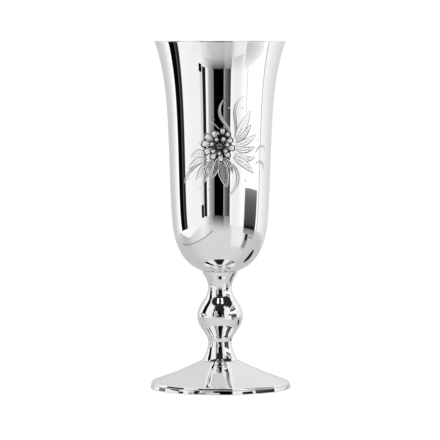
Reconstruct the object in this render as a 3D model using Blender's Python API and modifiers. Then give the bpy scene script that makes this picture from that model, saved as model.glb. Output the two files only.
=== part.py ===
"""Footed ceremonial cup (ciborium vessel) in polished plated metal.

A deep flared bowl stands on a hollow baluster stem and a conical foot with a
softly nine-sided edge. The pieces are turned or stamped separately, register into
one another with short spigots, and are drawn together by one threaded rod
that screws into a boss under the bowl and takes a nut beneath the foot.

Units are metres, +Z is up, and the foot stands on Z = 0 with the cup's axis
on the world Z axis. Dimensions below are in millimetres.
"""

import math

import bmesh
import bpy
import numpy as np
from mathutils import Vector

MM = 0.001

# ---------------------------------------------------------------- dimensions
HEIGHT = 148.0  # rim of the bowl above the table
SHEET = 0.9  # wall of every stamped or spun piece
GAP = 0.3  # clearance between faces that meet

# Bowl: outer radius at stations down the wall, from lip to the seat on the stem.
LIP_RADIUS = 27.9
BOWL_STATIONS = (
    (LIP_RADIUS, HEIGHT),
    (25.90, 141.1),
    (24.45, 134.6),
    (23.45, 128.0),
    (22.78, 121.3),
    (22.33, 114.6),
    (22.00, 108.0),
    (21.49, 94.6),
    (21.02, 81.3),
    (20.64, 74.6),
    (19.96, 67.9),
    (18.41, 61.5),
    (15.27, 55.6),
    (11.45, 52.05),
    (7.90, 50.15),
)
BOWL_SEAT_Z = 49.8  # flat underside of the bowl, hidden by the collar
LIP_THICKNESS = 0.6

# Threaded boss brazed under the bowl.
BOSS_TOP_Z, BOSS_BOTTOM_Z = 49.5, 46.2
BOSS_TOP_RADIUS, BOSS_BOTTOM_RADIUS = 5.5, 4.45

# Baluster stem: outer radius at stations, from the bowl down to the foot.
COLLAR_STATIONS = (
    (7.50, 49.5),
    (6.75, 48.0),
    (5.90, 46.6),
    (5.33, 45.0),
    (5.09, 43.4),
    (5.06, 42.5),
)
KNOP_STATIONS = (
    (5.08, 42.2),
    (5.62, 40.1),
    (6.44, 38.6),
    (7.37, 37.2),
    (8.23, 35.8),
    (8.97, 34.3),
    (9.51, 32.7),
    (9.72, 31.0),
    (9.55, 29.35),
    (9.08, 27.7),
    (8.37, 26.2),
    (7.48, 24.8),
    (6.52, 23.4),
    (5.64, 22.0),
    (5.11, 20.2),
)
LOWER_STEM_STATIONS = (
    (4.95, 19.9),
    (5.13, 18.5),
    (5.30, 17.5),
    (5.53, 16.5),
    (5.84, 15.5),
    (6.24, 14.5),
    (6.70, 13.6),
    (7.20, 12.7),
    (7.75, 11.95),
)
KNOP_EQUATOR_Z = 30.7
NECK_BORE = 4.05  # bore of each neck that takes a spigot
SPIGOT_RADIUS = NECK_BORE - GAP
SPIGOT_BORE = 2.6
SPIGOT_LENGTH = 2.1

# Foot: a cone with a flat hub, spreading to an edge of nine bowed sides.
SIDES = 9
FOOT_RADIUS = 30.2  # out to a corner
SIDE_DEPTH = 0.55  # how far the middle of a side comes in from that circle
HUB_Z = 11.45  # top of the flat hub inside the recess
RECESS_RADIUS = 8.05
CONE_TOP = (8.1, 11.8)
CONE_MIDDLE = (18.2, 7.1)
CONE_EDGE = (29.35, 2.95)
EDGE_RADIUS = 29.9
EDGE_Z = 2.0
RIM_TOP_Z = EDGE_Z - GAP
RIM_WIDTH = 2.4
RIM_INNER_RADIUS = FOOT_RADIUS - RIM_WIDTH

# Tie rod (M4) with the washer, lock washer and nut under the foot.
ROD_RADIUS = 2.0
ROD_TOP_Z, ROD_BOTTOM_Z = 48.6, 4.5
ROD_CLEARANCE = ROD_RADIUS + GAP
WASHER_RADIUS = 6.8
WASHER_Z = (9.6, 10.2)
LOCK_RADIUS = 3.7
LOCK_Z = (8.4, 9.3)
LOCK_SPLIT = 0.8
NUT_ACROSS_FLATS = 7.0
NUT_Z = (5.2, 8.1)

# Facets round each turned piece.
BOWL_STEPS = 44
STEM_STEPS = 28
ROD_STEPS = 20
FOOT_STEPS = 8 * SIDES


# ------------------------------------------------------------------- helpers
def natural_spline(stations, samples):
    """Points along a natural cubic through the stations, by chord length."""
    knots = np.array(stations, float)
    chord = np.concatenate(
        [[0.0], np.cumsum(np.hypot(*np.diff(knots, axis=0).T))]
    )
    step = np.diff(chord)
    n = len(knots)
    matrix = np.eye(n)
    right = np.zeros((n, 2))
    for i in range(1, n - 1):
        matrix[i, i - 1 : i + 2] = step[i - 1], 2 * (step[i - 1] + step[i]), step[i]
        right[i] = 6 * (
            (knots[i + 1] - knots[i]) / step[i]
            - (knots[i] - knots[i - 1]) / step[i - 1]
        )
    bend = np.linalg.solve(matrix, right)
    points = []
    for s in np.linspace(0.0, chord[-1], samples):
        i = min(max(int(np.searchsorted(chord, s)) - 1, 0), n - 2)
        a, b, h = chord[i + 1] - s, s - chord[i], step[i]
        points.append(
            tuple(
                bend[i] * a**3 / (6 * h)
                + bend[i + 1] * b**3 / (6 * h)
                + (knots[i] / h - bend[i] * h / 6) * a
                + (knots[i + 1] / h - bend[i + 1] * h / 6) * b
            )
        )
    return points


def inset(points, wall):
    """The points moved in by the wall, square to the curve."""
    track = np.array(points, float)
    along = np.gradient(track, axis=0)
    along /= np.linalg.norm(along, axis=1)[:, None]
    # The curve runs down its outer side, so its inner side is to its right.
    inward = np.column_stack([along[:, 1], -along[:, 0]])
    return [tuple(p) for p in track + inward * np.reshape(wall, (-1, 1))]


def material(name, colour, roughness):
    made = bpy.data.materials.new(name)
    made.use_nodes = True
    shader = made.node_tree.nodes["Principled BSDF"]
    shader.inputs["Base Color"].default_value = (*colour, 1.0)
    shader.inputs["Metallic"].default_value = 1.0
    shader.inputs["Roughness"].default_value = roughness
    made.diffuse_color = (*colour, 1.0)
    return made


def place(obj, collection, parent, base_z, finish):
    """Puts the object in its collection, on the axis at its own seat height."""
    collection.objects.link(obj)
    obj.location = (0.0, 0.0, base_z * MM)
    if parent is not None:
        obj.parent = parent
    if finish is not None:
        obj.data.materials.append(finish)
    return obj


def turned(name, outline, closed, steps, base_z, finish):
    """A profile, down its outer side and up its inner side, spun about Z."""
    mesh = bpy.data.meshes.new(name)
    count = len(outline)
    edges = [(i, i + 1) for i in range(count - 1)]
    if closed:
        edges.append((count - 1, 0))
    mesh.from_pydata(
        [(r * MM, 0.0, (z - base_z) * MM) for r, z in outline], edges, []
    )
    obj = bpy.data.objects.new(name, mesh)
    place(obj, parts, vessel, base_z, finish)
    screw = obj.modifiers.new("Turn", "SCREW")
    screw.axis = "Z"
    screw.angle = 2 * math.pi
    screw.steps = screw.render_steps = steps
    screw.use_merge_vertices = True
    screw.merge_threshold = 1e-6
    screw.use_smooth_shade = True
    return obj


def applied(obj):
    """The object with its modifiers made real, so its vertices can be moved."""
    bpy.context.view_layer.update()
    graph = bpy.context.evaluated_depsgraph_get()
    made = bpy.data.meshes.new_from_object(obj.evaluated_get(graph))
    obj.modifiers.clear()
    old = obj.data
    obj.data = made
    made.name = obj.name
    bpy.data.meshes.remove(old)
    return obj


def smooth(obj, degrees=32.0):
    obj.data.shade_smooth()
    obj.data.set_sharp_from_angle(angle=math.radians(degrees))


def cut(obj, cutter, label):
    boolean = obj.modifiers.new(label, "BOOLEAN")
    boolean.operation = "DIFFERENCE"
    boolean.solver = "EXACT"
    boolean.object = cutter


def side(azimuth):
    """0 at a corner of the edge and 1 in the middle of a side.

    The corners start at +X. Each side is bowed less than the circle through
    the corners, so the edge turns gently along a side and sharply at a corner.
    """
    turn = (azimuth * SIDES / (2 * math.pi)) % 1.0
    return 1.0 - (2.0 * turn - 1.0) ** 2


def draw_in(obj, start, depth):
    """Flattens the sides of the edge, fading to a true circle at `start`."""
    for vertex in obj.data.vertices:
        x, y = vertex.co.x / MM, vertex.co.y / MM
        radius = math.hypot(x, y)
        if radius <= start:
            continue
        weight = min((radius - start) / (EDGE_RADIUS - start), 1.0) ** 2
        pull = depth * weight * side(math.atan2(y, x))
        vertex.co.x *= 1 - pull / radius
        vertex.co.y *= 1 - pull / radius


# --------------------------------------------------------------------- scene
for left_over in list(bpy.data.objects):
    bpy.data.objects.remove(left_over, do_unlink=True)

parts = bpy.data.collections.new("ciborium_vessel")
cutters = bpy.data.collections.new("cutters")
bpy.context.scene.collection.children.link(parts)
bpy.context.scene.collection.children.link(cutters)
vessel = bpy.data.objects.new("vessel_axis", None)
parts.objects.link(vessel)

silver_bowl = material("silver_bowl", (0.93, 0.93, 0.925), 0.05)
silver_stem = material("silver_stem", (0.93, 0.93, 0.925), 0.06)
silver_foot = material("silver_foot", (0.92, 0.92, 0.915), 0.07)
brass = material("brass_fitting", (0.78, 0.60, 0.30), 0.28)
steel = material("steel_fixing", (0.60, 0.60, 0.60), 0.32)

# ---------------------------------------------------------------------- bowl
wall = natural_spline(BOWL_STATIONS, 21)
thickness = np.full(len(wall), SHEET)
thickness[0] = LIP_THICKNESS
thickness[1] = (LIP_THICKNESS + SHEET) / 2
lining = inset(wall, thickness)
lining[0] = (LIP_RADIUS - LIP_THICKNESS, HEIGHT)
floor_z = BOWL_SEAT_Z + SHEET
lining = [p for p in lining if p[1] > floor_z + 0.15]
bowl_outline = (
    wall
    + [(6.0, BOWL_SEAT_Z), (0.0, BOWL_SEAT_Z)]
    + [(0.0, floor_z), (5.0, floor_z)]
    + lining[::-1]
)
# The profile starts and ends at the lip, so the break at the axis is where
# the two halves of the list meet it.
split = bowl_outline.index((0.0, floor_z))
bowl_outline = bowl_outline[split:] + bowl_outline[:split]
bowl = turned("bowl", bowl_outline, False, BOWL_STEPS, BOWL_SEAT_Z, silver_bowl)
smooth(bowl)

# ---------------------------------------------------------------- bowl boss
boss_bore_z = ROD_TOP_Z + GAP
bowl_boss = turned(
    "bowl_boss",
    [
        (0.0, BOSS_TOP_Z),
        (BOSS_TOP_RADIUS, BOSS_TOP_Z),
        (BOSS_TOP_RADIUS, BOSS_TOP_Z - 0.9),
        (BOSS_BOTTOM_RADIUS, BOSS_BOTTOM_Z + 0.3),
        (BOSS_BOTTOM_RADIUS - 0.3, BOSS_BOTTOM_Z),
        (ROD_CLEARANCE, BOSS_BOTTOM_Z),
        (ROD_CLEARANCE, boss_bore_z - 0.4),
        (0.0, boss_bore_z),
    ],
    False,
    ROD_STEPS,
    BOSS_BOTTOM_Z,
    brass,
)
smooth(bowl_boss)

# --------------------------------------------------------------- stem collar
flare = natural_spline(COLLAR_STATIONS, 8)
collar_bottom = COLLAR_STATIONS[-1][1]
hollow = [p for p in inset(flare, SHEET) if p[0] > SPIGOT_BORE + 1.5]
stem_collar = turned(
    "stem_collar",
    flare
    + [
        (SPIGOT_RADIUS, collar_bottom),
        (SPIGOT_RADIUS, collar_bottom - SPIGOT_LENGTH),
        (SPIGOT_BORE, collar_bottom - SPIGOT_LENGTH),
        (SPIGOT_BORE, collar_bottom + 0.6),
        (3.6, collar_bottom + 1.3),
    ]
    + [p for p in hollow[::-1] if p[1] > collar_bottom + 1.7],
    True,
    STEM_STEPS,
    collar_bottom,
    silver_stem,
)
smooth(stem_collar)

# ---------------------------------------------------------------- knop shells
belly = natural_spline(KNOP_STATIONS, 23)
knop_top, knop_bottom = KNOP_STATIONS[0][1], KNOP_STATIONS[-1][1]
upper_edge_z = KNOP_EQUATOR_Z + GAP / 2
lower_edge_z = KNOP_EQUATOR_Z - GAP / 2
equator_radius = max(r for r, _ in belly)
lap_radius = equator_radius - SHEET - GAP


def belly_part(low, high):
    return [p for p in belly if low < p[1] < high]


upper_outside = belly_part(upper_edge_z + 0.2, knop_top + 1)
upper_inside = [
    p
    for p in inset(upper_outside, SHEET)
    if p[0] > NECK_BORE + 0.1 and p[1] < knop_top - 1.2
]
knop_upper_shell = turned(
    "knop_upper_shell",
    upper_outside
    + [
        (equator_radius, upper_edge_z),
        (equator_radius - SHEET, upper_edge_z),
    ]
    + upper_inside[::-1]
    + [(NECK_BORE, upper_inside[0][1] + 0.5), (NECK_BORE, knop_top)],
    True,
    STEM_STEPS,
    upper_edge_z,
    silver_stem,
)
smooth(knop_upper_shell)

lower_outside = belly_part(knop_bottom - 1, lower_edge_z - 0.2)
lower_inside = [
    p
    for p in inset(lower_outside, SHEET)
    if p[0] > NECK_BORE + 0.1 and knop_bottom + 1.2 < p[1] < lower_edge_z - 1.0
]
knop_lower_shell = turned(
    "knop_lower_shell",
    [(equator_radius, lower_edge_z)]
    + lower_outside
    + [(NECK_BORE, knop_bottom), (NECK_BORE, lower_inside[-1][1] - 0.5)]
    + lower_inside[::-1]
    + [
        (lap_radius - 0.6, lower_edge_z - 0.6),
        (lap_radius - 0.6, lower_edge_z + 1.5),
        (lap_radius, lower_edge_z + 1.5),
        (lap_radius, lower_edge_z),
    ],
    True,
    STEM_STEPS,
    knop_bottom,
    silver_stem,
)
smooth(knop_lower_shell)

# ---------------------------------------------------------------- lower stem
trumpet = natural_spline(LOWER_STEM_STATIONS, 8)
stem_top, stem_foot = LOWER_STEM_STATIONS[0][1], LOWER_STEM_STATIONS[-1][1]
stem_seat = HUB_Z + GAP
trumpet_inside = [
    p for p in inset(trumpet, SHEET) if stem_seat + 0.3 < p[1] < stem_top - 1.6
]
lower_stem = turned(
    "lower_stem",
    [(SPIGOT_BORE, stem_top + SPIGOT_LENGTH), (SPIGOT_RADIUS, stem_top + SPIGOT_LENGTH), (SPIGOT_RADIUS, stem_top)]
    + trumpet
    + [(7.75, stem_seat), (6.75, stem_seat)]
    + trumpet_inside[::-1]
    + [(3.6, stem_top - 1.3), (SPIGOT_BORE, stem_top - 0.6)],
    True,
    STEM_STEPS,
    stem_seat,
    silver_stem,
)
smooth(lower_stem)

# ----------------------------------------------------------------- foot dome
cone = natural_spline((CONE_TOP, CONE_MIDDLE, CONE_EDGE), 7)
cone_inside = inset(cone, SHEET)
foot_dome = turned(
    "foot_dome",
    [(ROD_CLEARANCE, HUB_Z), (RECESS_RADIUS, HUB_Z)]
    + cone
    + [
        (EDGE_RADIUS, 2.6),
        (EDGE_RADIUS, EDGE_Z),
        (EDGE_RADIUS - 1.6, EDGE_Z),
    ]
    + [p for p in cone_inside[::-1] if 8.6 < p[0] < EDGE_RADIUS - 2.0]
    + [(7.4, HUB_Z - SHEET), (ROD_CLEARANCE, HUB_Z - SHEET)],
    True,
    FOOT_STEPS,
    EDGE_Z,
    silver_foot,
)
applied(foot_dome)
draw_in(foot_dome, 17.0, SIDE_DEPTH)
smooth(foot_dome)

# ------------------------------------------------------------------ foot rim
foot_rim = turned(
    "foot_rim",
    [
        (FOOT_RADIUS - 0.15, RIM_TOP_Z),
        (FOOT_RADIUS, RIM_TOP_Z - 0.15),
        (FOOT_RADIUS, 0.2),
        (FOOT_RADIUS - 0.2, 0.0),
        (RIM_INNER_RADIUS, 0.0),
        (RIM_INNER_RADIUS, RIM_TOP_Z),
    ],
    True,
    FOOT_STEPS,
    0.0,
    silver_foot,
)
applied(foot_rim)
draw_in(foot_rim, 26.0, SIDE_DEPTH)
smooth(foot_rim)

# ------------------------------------------------------------------- tie rod
chamfer = 0.4
tie_rod = turned(
    "tie_rod",
    [
        (0.0, ROD_TOP_Z),
        (ROD_RADIUS - chamfer, ROD_TOP_Z),
        (ROD_RADIUS, ROD_TOP_Z - chamfer),
        (ROD_RADIUS, ROD_BOTTOM_Z + chamfer),
        (ROD_RADIUS - chamfer, ROD_BOTTOM_Z),
        (0.0, ROD_BOTTOM_Z),
    ],
    False,
    ROD_STEPS,
    ROD_BOTTOM_Z,
    brass,
)
smooth(tie_rod)

# --------------------------------------------------------------- foot washer
foot_washer = turned(
    "foot_washer",
    [
        (WASHER_RADIUS, WASHER_Z[1]),
        (WASHER_RADIUS, WASHER_Z[0] + 0.15),
        (WASHER_RADIUS - 0.15, WASHER_Z[0]),
        (ROD_CLEARANCE, WASHER_Z[0]),
        (ROD_CLEARANCE, WASHER_Z[1]),
    ],
    True,
    ROD_STEPS,
    WASHER_Z[0],
    steel,
)
smooth(foot_washer)

# --------------------------------------------------------------- lock washer
lock_washer = turned(
    "lock_washer",
    [
        (LOCK_RADIUS, LOCK_Z[1]),
        (LOCK_RADIUS, LOCK_Z[0]),
        (ROD_CLEARANCE, LOCK_Z[0]),
        (ROD_CLEARANCE, LOCK_Z[1]),
    ],
    True,
    ROD_STEPS,
    LOCK_Z[0],
    steel,
)
saw = bpy.data.objects.new("lock_washer_saw", bpy.data.meshes.new("lock_washer_saw"))
block = bmesh.new()
bmesh.ops.create_cube(block, size=1.0)
bmesh.ops.scale(block, vec=Vector((4.0, LOCK_SPLIT, 4.0)) * MM, verts=block.verts)
block.to_mesh(saw.data)
block.free()
cutters.objects.link(saw)
saw.location = (3.1 * MM, 0.0, sum(LOCK_Z) / 2 * MM)
saw.rotation_euler = (math.radians(24.0), 0.0, 0.0)
saw.hide_render = True
saw.display_type = "WIRE"
cut(lock_washer, saw, "Split")
smooth(lock_washer)

# ------------------------------------------------------------------ foot nut
foot_nut = bpy.data.objects.new("foot_nut", bpy.data.meshes.new("foot_nut"))
hexagon = bmesh.new()
nut_height = NUT_Z[1] - NUT_Z[0]
bmesh.ops.create_cone(
    hexagon,
    cap_ends=True,
    segments=6,
    radius1=NUT_ACROSS_FLATS / math.sqrt(3) * MM,
    radius2=NUT_ACROSS_FLATS / math.sqrt(3) * MM,
    depth=nut_height * MM,
)
bmesh.ops.translate(hexagon, vec=(0, 0, nut_height / 2 * MM), verts=hexagon.verts)
hexagon.to_mesh(foot_nut.data)
hexagon.free()
place(foot_nut, parts, vessel, NUT_Z[0], brass)
crown = foot_nut.modifiers.new("Break edges", "BEVEL")
crown.width = 0.25 * MM
crown.segments = 1
crown.limit_method = "ANGLE"
crown.angle_limit = math.radians(70.0)
tap = bpy.data.objects.new("foot_nut_tap", bpy.data.meshes.new("foot_nut_tap"))
drill = bmesh.new()
bmesh.ops.create_cone(
    drill,
    cap_ends=True,
    segments=ROD_STEPS,
    radius1=ROD_CLEARANCE * MM,
    radius2=ROD_CLEARANCE * MM,
    depth=(nut_height + 4.0) * MM,
)
drill.to_mesh(tap.data)
drill.free()
cutters.objects.link(tap)
tap.location = (0.0, 0.0, sum(NUT_Z) / 2 * MM)
tap.hide_render = True
tap.display_type = "WIRE"
cut(foot_nut, tap, "Tapped hole")
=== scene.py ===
import math

import bpy
import numpy as np
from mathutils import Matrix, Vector


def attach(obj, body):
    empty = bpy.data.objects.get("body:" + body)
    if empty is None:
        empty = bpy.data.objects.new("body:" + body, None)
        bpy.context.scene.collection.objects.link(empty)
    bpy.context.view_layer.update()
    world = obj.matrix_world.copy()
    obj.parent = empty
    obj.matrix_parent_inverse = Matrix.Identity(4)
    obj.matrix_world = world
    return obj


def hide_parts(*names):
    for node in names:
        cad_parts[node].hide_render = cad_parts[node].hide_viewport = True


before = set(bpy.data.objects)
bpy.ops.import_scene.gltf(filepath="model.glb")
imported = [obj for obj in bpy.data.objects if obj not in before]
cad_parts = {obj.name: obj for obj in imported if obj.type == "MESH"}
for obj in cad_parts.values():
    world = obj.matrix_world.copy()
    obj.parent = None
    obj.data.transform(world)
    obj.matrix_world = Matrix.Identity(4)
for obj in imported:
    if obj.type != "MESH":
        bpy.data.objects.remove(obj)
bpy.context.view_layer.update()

MM = 0.001

# =============================================================== dimensions
# The turned profiles, in millimetres, as the CAD states them.
HEIGHT = 148.0
SHEET = 0.9
LIP_RISE = 0.5
BOWL_STATIONS = (
    (27.90, 148.0),
    (25.90, 141.1),
    (24.45, 134.6),
    (23.45, 128.0),
    (22.78, 121.3),
    (22.33, 114.6),
    (22.00, 108.0),
    (21.49, 94.6),
    (21.02, 81.3),
    (20.64, 74.6),
    (19.96, 67.9),
    (18.41, 61.5),
    (15.27, 55.6),
    (11.45, 52.05),
    (7.90, 50.15),
)
COLLAR_STATIONS = (
    (7.62, 49.98),
    (7.44, 49.40),
    (6.75, 48.0),
    (5.90, 46.6),
    (5.33, 45.0),
    (5.09, 43.4),
    (5.06, 42.36),
)
KNOP_STATIONS = (
    (5.08, 42.33),
    (5.62, 40.1),
    (6.44, 38.6),
    (7.37, 37.2),
    (8.23, 35.8),
    (8.97, 34.3),
    (9.51, 32.7),
    (9.72, 31.0),
    (9.55, 29.35),
    (9.08, 27.7),
    (8.37, 26.2),
    (7.48, 24.8),
    (6.52, 23.4),
    (5.64, 22.0),
    (5.11, 20.08),
)
LOWER_STEM_STATIONS = (
    (4.95, 20.0),
    (5.13, 18.5),
    (5.30, 17.5),
    (5.53, 16.5),
    (5.84, 15.5),
    (6.24, 14.5),
    (6.70, 13.6),
    (7.20, 12.7),
    (7.75, 11.95),
)
KNOP_EQUATOR_Z = 30.7
SIDES = 9
SIDE_DEPTH = 0.55
FOOT_RADIUS = 30.2
EDGE_RADIUS = 29.9


# ================================================================= profiles
class Spline:
    """A natural cubic through stations (r, z), run by chord length."""

    def __init__(self, stations):
        self.knots = np.array(stations, float)
        self.chord = np.concatenate(
            [[0.0], np.cumsum(np.hypot(*np.diff(self.knots, axis=0).T))]
        )
        h = np.diff(self.chord)
        n = len(self.knots)
        m, right = np.eye(n), np.zeros((n, 2))
        for i in range(1, n - 1):
            m[i, i - 1 : i + 2] = h[i - 1], 2 * (h[i - 1] + h[i]), h[i]
            right[i] = 6 * (
                (self.knots[i + 1] - self.knots[i]) / h[i]
                - (self.knots[i] - self.knots[i - 1]) / h[i - 1]
            )
        self.bend, self.h = np.linalg.solve(m, right), h
        self.length = self.chord[-1]

    def at(self, s):
        """Points, and tangents towards the end, at the lengths s."""
        s = np.atleast_1d(np.asarray(s, float))
        i = np.clip(np.searchsorted(self.chord, s) - 1, 0, len(self.h) - 1)
        h = self.h[i][:, None]
        a = (self.chord[i + 1] - s)[:, None]
        b = (s - self.chord[i])[:, None]
        m0, m1 = self.bend[i], self.bend[i + 1]
        k0, k1 = self.knots[i], self.knots[i + 1]
        p = (
            m0 * a**3 / (6 * h)
            + m1 * b**3 / (6 * h)
            + (k0 / h - m0 * h / 6) * a
            + (k1 / h - m1 * h / 6) * b
        )
        t = (
            -m0 * a**2 / (2 * h)
            + m1 * b**2 / (2 * h)
            - (k0 / h - m0 * h / 6)
            + (k1 / h - m1 * h / 6)
        )
        return p, t / np.linalg.norm(t, axis=1)[:, None]

    def run(self, count):
        return self.at(np.linspace(0.0, self.length, count))


def inward(points, tangents, wall):
    """Moved in from the outside face, which runs down the profile."""
    return points + np.column_stack([tangents[:, 1], -tangents[:, 0]]) * np.reshape(
        wall, (-1, 1)
    )


def rounded(points, radii, steps=4):
    """An outline whose corners take a fillet where their radius isn't nought."""
    out = []
    n = len(points)
    for i, (p, r) in enumerate(zip(points, radii)):
        p = np.array(p, float)
        if not r:
            out.append(tuple(p))
            continue
        a = np.array(points[i - 1], float) - p
        b = np.array(points[(i + 1) % n], float) - p
        la, lb = np.linalg.norm(a), np.linalg.norm(b)
        a, b = a / la, b / lb
        half = math.acos(max(-1.0, min(1.0, float(a @ b)))) / 2
        back = min(r / math.tan(half), 0.49 * la, 0.49 * lb)
        r = back * math.tan(half)
        mid = (a + b) / np.linalg.norm(a + b)
        centre = p + mid * (r / math.sin(half))
        start, stop = p + a * back - centre, p + b * back - centre
        t0 = math.atan2(start[1], start[0])
        turn = (math.atan2(stop[1], stop[0]) - t0 + math.pi) % (2 * math.pi) - math.pi
        for k in range(steps + 1):
            t = t0 + turn * k / steps
            out.append((centre[0] + r * math.cos(t), centre[1] + r * math.sin(t)))
    return out


# ================================================================== meshing
def mesh_object(name, vertices, faces, material, normals=None, sharp=35.0):
    mesh = bpy.data.meshes.new(name)
    mesh.from_pydata([tuple(v) for v in vertices], [], faces)
    mesh.validate(clean_customdata=False)
    mesh.update()
    obj = bpy.data.objects.new(name, mesh)
    bpy.context.scene.collection.objects.link(obj)
    mesh.materials.append(material)
    mesh.shade_smooth()
    if normals is not None:
        mesh.normals_split_custom_set_from_vertices([tuple(n) for n in normals])
    else:
        mesh.set_sharp_from_angle(angle=math.radians(sharp))
    return obj


def lathe(name, outline, columns, material, shape=None, sharp=35.0):
    """A closed outline (r, z) in millimetres, down its outside and up its
    inside, spun about Z. A point at r = 0 becomes one vertex on the axis.
    `shape` may move the points: it takes and returns x, y, z arrays."""
    angle = np.arange(columns) * 2 * math.pi / columns
    ca, sa = np.cos(angle), np.sin(angle)
    rings, verts = [], []
    for r, z in outline:
        if abs(r) < 1e-9:
            rings.append([len(verts)] * columns)
            verts.append((0.0, 0.0, z))
        else:
            base = len(verts)
            rings.append(list(range(base, base + columns)))
            verts.extend(zip(r * ca, r * sa, np.full(columns, z)))
    verts = np.array(verts, float)
    if shape is not None:
        verts = np.column_stack(shape(*verts.T))
    faces = []
    count = len(outline)
    for i in range(count):
        up, down = rings[i], rings[(i + 1) % count]
        if up[0] == up[1] and down[0] == down[1]:
            continue
        for k in range(columns):
            n = (k + 1) % columns
            loop = [up[k], down[k], down[n], up[n]]
            if up[0] == up[1]:
                loop = [up[k], down[k], down[n]]
            elif down[0] == down[1]:
                loop = [up[k], down[k], up[n]]
            faces.append(loop)
    return mesh_object(name, verts * MM, faces, material, sharp=sharp)


def side(azimuth):
    """0 at a corner of the foot's edge, 1 in the middle of a side."""
    turn = (azimuth * SIDES / (2 * math.pi)) % 1.0
    return 1.0 - (2.0 * turn - 1.0) ** 2


def draw_in(start, depth):
    def shape(x, y, z):
        r = np.hypot(x, y)
        weight = np.clip((r - start) / (EDGE_RADIUS - start), 0.0, 1.0) ** 2
        k = 1.0 - depth * weight * side(np.arctan2(y, x)) / np.maximum(r, 1e-6)
        return x * k, y * k, z

    return shape


# ================================================================ materials
class Nodes:
    """Short forms for the nodes that the materials and the world use."""

    def __init__(self, tree):
        self.tree = tree
        tree.nodes.clear()

    def new(self, kind, **settings):
        node = self.tree.nodes.new(kind)
        for key, value in settings.items():
            setattr(node, key, value)
        return node

    def put(self, socket, value):
        if isinstance(value, bpy.types.NodeSocket):
            self.tree.links.new(value, socket)
        else:
            socket.default_value = value

    def math(self, operation, a, b=0.0, c=0.0, clamp=False):
        node = self.new("ShaderNodeMath", operation=operation, use_clamp=clamp)
        for socket, value in zip(node.inputs, (a, b, c)):
            self.put(socket, value)
        return node.outputs[0]

    def span(self, value, low, high, to_low=0.0, to_high=1.0, kind="SMOOTHSTEP"):
        node = self.new("ShaderNodeMapRange", interpolation_type=kind)
        for socket, item in zip(
            [node.inputs[i] for i in range(5)], (value, low, high, to_low, to_high)
        ):
            self.put(socket, item)
        return node.outputs[0]

    def noise(self, vector, scale, detail=2.0, roughness=0.5, distortion=0.0):
        node = self.new("ShaderNodeTexNoise")
        self.put(node.inputs["Vector"], vector)
        self.put(node.inputs["Scale"], scale)
        self.put(node.inputs["Detail"], detail)
        self.put(node.inputs["Roughness"], roughness)
        self.put(node.inputs["Distortion"], distortion)
        return node.outputs[0]

    def stretched(self, vector, scale):
        node = self.new("ShaderNodeMapping")
        self.put(node.inputs["Vector"], vector)
        self.put(node.inputs["Scale"], scale)
        return node.outputs[0]

    def ramp(self, value, stops, kind="LINEAR"):
        node = self.new("ShaderNodeValToRGB")
        node.color_ramp.interpolation = kind
        made = node.color_ramp.elements
        while len(made) > 1:
            made.remove(made[-1])
        made[0].position = stops[0][0]
        made[0].color = tuple(stops[0][1]) + (1.0,)
        for position, colour in stops[1:]:
            stop = made.new(position)
            stop.color = tuple(colour) + (1.0,)
        self.put(node.inputs[0], value)
        return node.outputs[0]

    def mix_colour(self, factor, a, b, blend="MIX"):
        node = self.new("ShaderNodeMix", data_type="RGBA", blend_type=blend)
        self.put(node.inputs[0], factor)
        self.put(node.inputs[6], a)
        self.put(node.inputs[7], b)
        return node.outputs[2]


def grey(v):
    return (v, v, v)


def silver(name, tint, rough, dull=0.0, groove=False, scratch=0.02):
    """Mirror-polished plate: a trace of uneven polish, fine wiping marks, and
    a darker, duller floor in cut lines where `groove` reads that attribute."""
    material = bpy.data.materials.new(name)
    material.use_nodes = True
    n = Nodes(material.node_tree)
    place = n.new("ShaderNodeTexCoord").outputs["Object"]
    cloud = n.noise(n.stretched(place, (55.0, 55.0, 30.0)), 1.0, 3.0, 0.55)
    wipe = n.noise(n.stretched(place, (260.0, 260.0, 2400.0)), 1.0, 2.0, 0.6)
    speck = n.noise(place, 5200.0, 1.0, 0.5)
    colour = n.ramp(
        cloud, [(0.30, [c * 0.985 for c in tint]), (0.70, [min(c * 1.01, 1.0) for c in tint])]
    )
    roughness = n.math(
        "ADD",
        n.span(cloud, 0.3, 0.7, rough, rough * 1.5, "LINEAR"),
        n.span(wipe, 0.58, 0.75, 0.0, 0.008, "LINEAR"),
    )
    if dull:
        roughness = n.math("ADD", roughness, n.span(speck, 0.4, 0.7, dull * 0.6, dull, "LINEAR"))
    if groove:
        cut = n.new("ShaderNodeAttribute", attribute_name="cut").outputs["Fac"]
        satin = n.new("ShaderNodeAttribute", attribute_name="satin").outputs["Fac"]
        bare = n.math("SUBTRACT", 1.0, cut, clamp=True)
        frost = n.math("MULTIPLY", satin, bare, clamp=True)
        colour = n.mix_colour(frost, colour, (0.93, 0.93, 0.925, 1.0))
        colour = n.mix_colour(cut, colour, (0.016, 0.016, 0.017, 1.0))
        roughness = n.math("MULTIPLY_ADD", cut, 0.30, roughness)
        roughness = n.math("MULTIPLY_ADD", satin, 0.38, roughness)
        metal = n.math("MULTIPLY_ADD", frost, -0.78, 1.0)
    bump = n.new("ShaderNodeBump")
    n.put(bump.inputs["Strength"], scratch)
    n.put(bump.inputs["Distance"], 0.00002)
    n.put(bump.inputs["Height"], n.math("ADD", wipe, n.math("MULTIPLY", speck, 0.25)))
    shader = n.new("ShaderNodeBsdfPrincipled")
    n.put(shader.inputs["Base Color"], colour)
    n.put(shader.inputs["Metallic"], metal if groove else 1.0)
    n.put(shader.inputs["Roughness"], roughness)
    n.put(shader.inputs["Normal"], bump.outputs[0])
    n.put(n.new("ShaderNodeOutputMaterial").inputs["Surface"], shader.outputs[0])
    return material


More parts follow.
